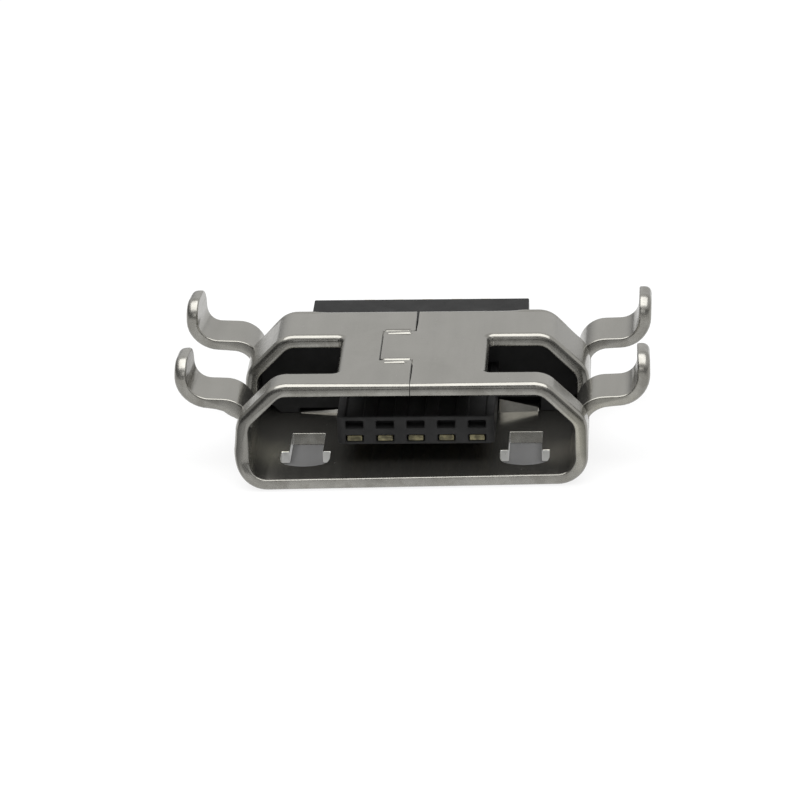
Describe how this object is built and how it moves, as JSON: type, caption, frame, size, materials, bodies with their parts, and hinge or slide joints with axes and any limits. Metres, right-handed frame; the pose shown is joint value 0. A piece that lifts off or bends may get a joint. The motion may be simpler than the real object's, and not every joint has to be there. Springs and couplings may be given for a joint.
{
  "type": "micro usb socket",
  "caption": "Micro-B socket for a cut-out in a board's edge: folded plated shell with horned legs, black moulding with a thin tongue, and flat gold contacts with solder tails",
  "frame": {"origin": "middle of the footprint on the plane that the wide wall rests on", "axes": "+X across the mouth to the right as seen from the mouth, +Y from the mouth to the solder tails, +Z from the wide wall to the narrow wall"},
  "size_m": [0.01, 0.0064, 0.0025],
  "materials": {
    "shell": "satin plated sheet",
    "insulator": "moulded, slightly glossy",
    "contacts": "thin gold plating"
  },
  "bodies": {
    "root": {"shell": "shell", "insulator": "insulator", "contact_1": "contacts", "contact_2": "contacts", "contact_3": "contacts", "contact_4": "contacts", "contact_5": "contacts"}
  },
  "joints": []
}
